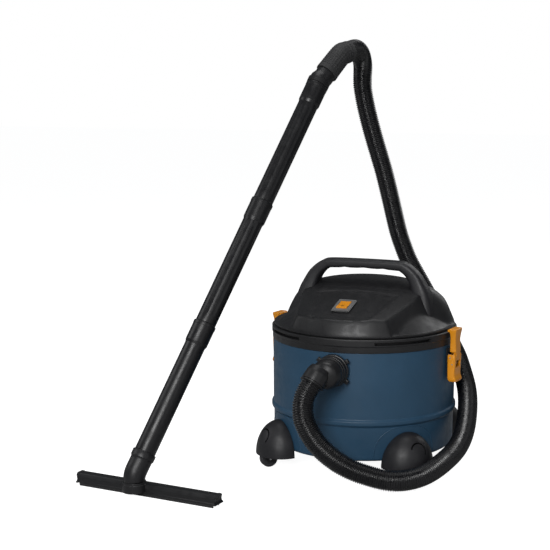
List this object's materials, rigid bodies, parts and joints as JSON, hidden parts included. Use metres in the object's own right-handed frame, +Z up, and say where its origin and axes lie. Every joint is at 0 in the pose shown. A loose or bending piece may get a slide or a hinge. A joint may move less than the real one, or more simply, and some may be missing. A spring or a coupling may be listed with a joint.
{
  "type": "wet and dry shop vacuum",
  "caption": "Canister wet and dry vacuum on four casters: blue tub, black latched motor head with handle, ribbed hose, jointed straight wand and floor nozzle.",
  "frame": {"origin": "centre of the footprint of the vacuum with its wand and nozzle, without the hose, on the floor", "axes": "+Z up, -Y is the front, where the hose plugs in and the switch slopes; +X is to the right seen from the front"},
  "size_m": [0.6314, 0.6053, 0.7721],
  "materials": {
    "tub_blue": "satin, lightly textured, moulded in dark blue",
    "head_black": "fine texture, black",
    "black_plastic": "satin black",
    "tube_black": "semi-gloss black",
    "hose_black": "semi-gloss black, finely ribbed",
    "black_rubber": "matt black",
    "dark_grey": "satin dark grey",
    "wheel_grey": "matt dark grey",
    "bezel_grey": "satin grey",
    "orange_yellow": "satin orange-yellow",
    "ivory_plastic": "smooth",
    "foam": "open foam",
    "steel": "bright",
    "aluminium": "cast",
    "copper": "wound copper wire, lacquered"
  },
  "bodies": {
    "root": {"tub": "tub_blue", "inlet_port": "black_plastic", "hose_elbow": "black_plastic", "elbow_ring": "black_plastic", "suction_hose": "hose_black", "grip_cuff": "black_rubber", "grip_tube": "black_plastic", "wand_upper": "tube_black", "wand_middle": "tube_black", "wand_lower": "tube_black", "wand_elbow": "black_plastic", "foot_front_left": "dark_grey", "foot_front_right": "dark_grey", "foot_rear_right": "dark_grey", "foot_rear_left": "dark_grey", "latch_bracket_right": "black_plastic", "latch_pin_right": "steel", "latch_bracket_left": "black_plastic", "latch_pin_left": "steel"},
    "head": {"head_base": "head_black", "head_cover": "head_black", "tub_gasket": "black_rubber", "carry_handle": "dark_grey", "cover_screw": "steel", "switch_housing": "bezel_grey", "cable_gland": "black_plastic", "fan_housing": "black_plastic", "motor_stator": "steel", "float_cage": "black_plastic", "foam_filter": "foam", "filter_ring": "black_rubber"},
    "rocker": {"power_rocker": "orange_yellow"},
    "rotor": {"fan_impeller": "aluminium", "motor_armature": "copper"},
    "float": {"float_ball": "ivory_plastic"},
    "lever_right": {"latch_lever_right": "orange_yellow", "claw_pin_right": "steel"},
    "lever_left": {"latch_lever_left": "orange_yellow", "claw_pin_left": "steel"},
    "claw_right": {"latch_claw_right": "orange_yellow"},
    "claw_left": {"latch_claw_left": "orange_yellow"},
    "nozzle": {"nozzle_body": "black_plastic", "squeegee_front": "black_rubber", "squeegee_rear": "black_rubber"},
    "swivel_front_left": {"caster_fork_front_left": "black_plastic", "caster_axle_front_left": "steel"},
    "wheel_front_left": {"caster_wheel_front_left": "wheel_grey"},
    "swivel_front_right": {"caster_fork_front_right": "black_plastic", "caster_axle_front_right": "steel"},
    "wheel_front_right": {"caster_wheel_front_right": "wheel_grey"},
    "swivel_rear_right": {"caster_fork_rear_right": "black_plastic", "caster_axle_rear_right": "steel"},
    "wheel_rear_right": {"caster_wheel_rear_right": "wheel_grey"},
    "swivel_rear_left": {"caster_fork_rear_left": "black_plastic", "caster_axle_rear_left": "steel"},
    "wheel_rear_left": {"caster_wheel_rear_left": "wheel_grey"}
  },
  "joints": [
    {"name": "head_lift", "type": "slide", "parent": "root", "child": "head", "axis": [0, 0, 1], "range_m": [0, 0.12]},
    {"name": "rocker_tilt", "type": "hinge", "parent": "head", "child": "rocker", "pos_m": [0.1024, -0.0002, 0.29953], "axis": [1, 0, 0], "range_deg": [0, 12]},
    {"name": "rotor_spin", "type": "hinge", "parent": "head", "child": "rotor", "pos_m": [0.1084, 0.1008, 0.26], "axis": [0, 0, 1], "continuous": true},
    {"name": "float_rise", "type": "slide", "parent": "head", "child": "float", "axis": [0, 0, 1], "range_m": [0, 0.038]},
    {"name": "lever_right_swing", "type": "hinge", "parent": "root", "child": "lever_right", "pos_m": [0.28665, 0.07575, 0.208], "axis": [-0.1392, -0.9903, 0], "range_deg": [0, 75]},
    {"name": "claw_right_swing", "type": "hinge", "parent": "lever_right", "child": "claw_right", "pos_m": [0.29081, 0.07516, 0.196], "axis": [-0.1392, -0.9903, 0], "range_deg": [-94, 0]},
    {"name": "lever_left_swing", "type": "hinge", "parent": "root", "child": "lever_left", "pos_m": [-0.06985, 0.12585, 0.208], "axis": [0.1392, 0.9903, 0], "range_deg": [0, 75]},
    {"name": "claw_left_swing", "type": "hinge", "parent": "lever_left", "child": "claw_left", "pos_m": [-0.07401, 0.12644, 0.196], "axis": [0.1392, 0.9903, 0], "range_deg": [-94, 0]},
    {"name": "nozzle_turn", "type": "hinge", "parent": "root", "child": "nozzle", "pos_m": [-0.1786, -0.2672, 0.02], "axis": [0, 0, 1], "continuous": true},
    {"name": "caster_swivel_front_left", "type": "hinge", "parent": "root", "child": "swivel_front_left", "pos_m": [-0.02383, -0.03143, 0.036], "axis": [0, 0, 1], "continuous": true},
    {"name": "caster_roll_front_left", "type": "hinge", "parent": "swivel_front_left", "child": "wheel_front_left", "pos_m": [-0.02949, -0.03709, 0.016], "axis": [0.7071, -0.7071, 0], "continuous": true},
    {"name": "caster_swivel_front_right", "type": "hinge", "parent": "root", "child": "swivel_front_right", "pos_m": [0.24063, -0.03143, 0.036], "axis": [0, 0, 1], "continuous": true},
    {"name": "caster_roll_front_right", "type": "hinge", "parent": "swivel_front_right", "child": "wheel_front_right", "pos_m": [0.24629, -0.03709, 0.016], "axis": [0.7071, 0.7071, 0], "continuous": true},
    {"name": "caster_swivel_rear_right", "type": "hinge", "parent": "root", "child": "swivel_rear_right", "pos_m": [0.24063, 0.23303, 0.036], "axis": [0, 0, 1], "continuous": true},
    {"name": "caster_roll_rear_right", "type": "hinge", "parent": "swivel_rear_right", "child": "wheel_rear_right", "pos_m": [0.24629, 0.23869, 0.016], "axis": [-0.7071, 0.7071, 0], "continuous": true},
    {"name": "caster_swivel_rear_left", "type": "hinge", "parent": "root", "child": "swivel_rear_left", "pos_m": [-0.02383, 0.23303, 0.036], "axis": [0, 0, 1], "continuous": true},
    {"name": "caster_roll_rear_left", "type": "hinge", "parent": "swivel_rear_left", "child": "wheel_rear_left", "pos_m": [-0.02949, 0.23869, 0.016], "axis": [-0.7071, -0.7071, 0], "continuous": true}
  ],
  "couplings": [
    {"joint": "claw_right_swing", "follows": "lever_right_swing", "ratio": -1.25},
    {"joint": "claw_left_swing", "follows": "lever_left_swing", "ratio": -1.25}
  ]
}
